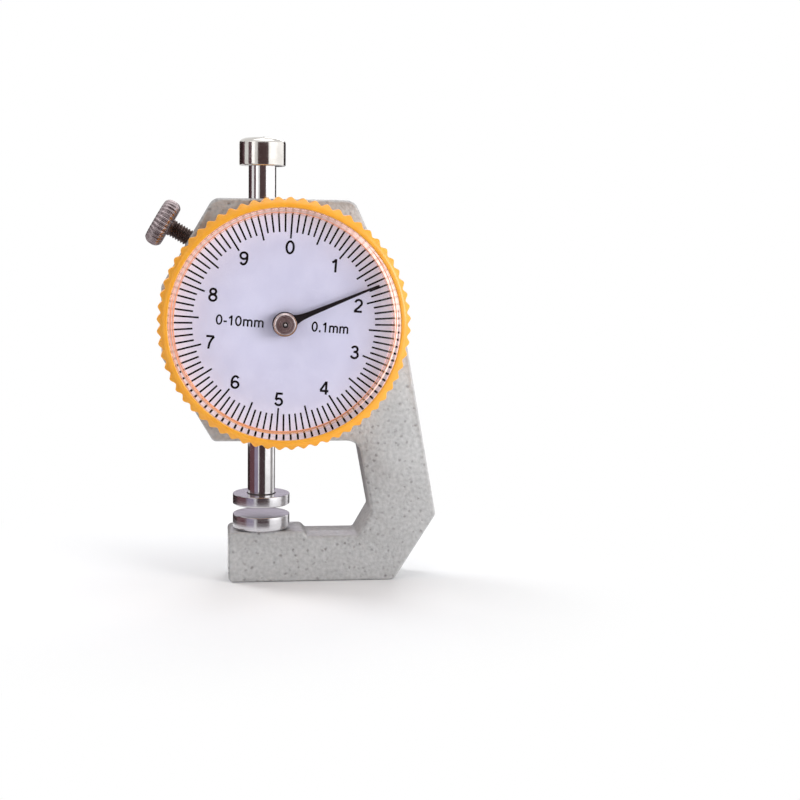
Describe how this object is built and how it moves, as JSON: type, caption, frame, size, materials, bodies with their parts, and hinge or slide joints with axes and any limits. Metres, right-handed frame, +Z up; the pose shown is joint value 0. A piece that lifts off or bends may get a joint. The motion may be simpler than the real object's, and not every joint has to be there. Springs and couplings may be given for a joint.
{
  "type": "dial thickness gauge",
  "caption": "Pocket dial thickness gauge: cast C-frame with fixed anvil, sprung spindle with flat contact disc, rack-driven pointer, rotating toothed bezel and a side lock screw.",
  "frame": {"origin": "on the frame's base face, under the spindle axis, at the middle of the frame's thickness", "axes": "+X to the right seen from the dial side, +Y from the dial to the back, +Z up along the spindle"},
  "size_m": [0.0507, 0.0159, 0.0772],
  "materials": {
    "hammertone_paint": "hammertone enamel on a die casting",
    "ground_steel": "ground and polished",
    "plated_steel": "bright nickel plate",
    "blued_steel": "blued spring strip",
    "spring_steel": "drawn wire",
    "brass": "turned",
    "amber_plastic": "moulded, satin",
    "dark_plastic": "moulded",
    "clear_plastic": "clear acrylic",
    "dial_enamel": "white print on sheet metal",
    "black_paint": "black lacquer"
  },
  "bodies": {
    "frame_body": {"frame": "hammertone_paint", "anvil": "ground_steel", "upper_bush": "brass", "lower_bush": "brass", "back_cover": "hammertone_paint", "back_cover_screws": "plated_steel", "guide_fork": "brass", "guide_fork_screws": "plated_steel", "spring_post": "ground_steel", "return_spring": "spring_steel", "movement_bridge": "brass", "bridge_screws": "plated_steel", "rear_bearing": "brass", "front_bearing": "brass", "hairspring_stud": "brass", "hairspring": "blued_steel", "bezel_snap_wire": "spring_steel"},
    "spindle_body": {"spindle": "ground_steel", "lift_button": "plated_steel", "contact_disc": "ground_steel", "guide_pin": "ground_steel"},
    "pointer_body": {"pinion_arbor": "ground_steel", "hairspring_collet": "brass", "pointer": "black_paint", "pointer_hub": "plated_steel"},
    "bezel_body": {"bezel": "amber_plastic", "bezel_retainer": "dark_plastic", "dial_plate": "dial_enamel", "crystal": "clear_plastic"},
    "lock_pad_body": {"lock_pad": "brass"},
    "lock_screw_body": {"lock_screw": "plated_steel"}
  },
  "joints": [
    {"name": "spindle_slide", "type": "slide", "parent": "frame_body", "child": "spindle_body", "axis": [0, 0, 1], "range_m": [-0.00175, 0.00825], "stiffness_N_per_m": 50, "springref_m": -0.03, "deforming": ["return_spring"]},
    {"name": "pointer_spin", "type": "hinge", "parent": "frame_body", "child": "pointer_body", "pos_m": [0.00355, 0, 0.04565], "axis": [0, 1, 0], "range_deg": [-63.5, 297.5], "deforming": ["hairspring"]},
    {"name": "bezel_turn", "type": "hinge", "parent": "frame_body", "child": "bezel_body", "pos_m": [0.00355, 0, 0.04565], "axis": [0, 1, 0], "continuous": true},
    {"name": "lock_travel", "type": "slide", "parent": "frame_body", "child": "lock_pad_body", "axis": [0.8641, 0, -0.5034], "range_m": [-0.0015, 0.0005]},
    {"name": "lock_turn", "type": "hinge", "parent": "lock_pad_body", "child": "lock_screw_body", "pos_m": [0, 0, 0.0525], "axis": [0.8641, 0, -0.5034], "range_deg": [-1081, 361]}
  ],
  "couplings": [
    {"joint": "pointer_spin", "follows": "spindle_slide", "rad_per_m": 628.32},
    {"joint": "lock_turn", "follows": "lock_travel", "rad_per_m": 12566}
  ]
}
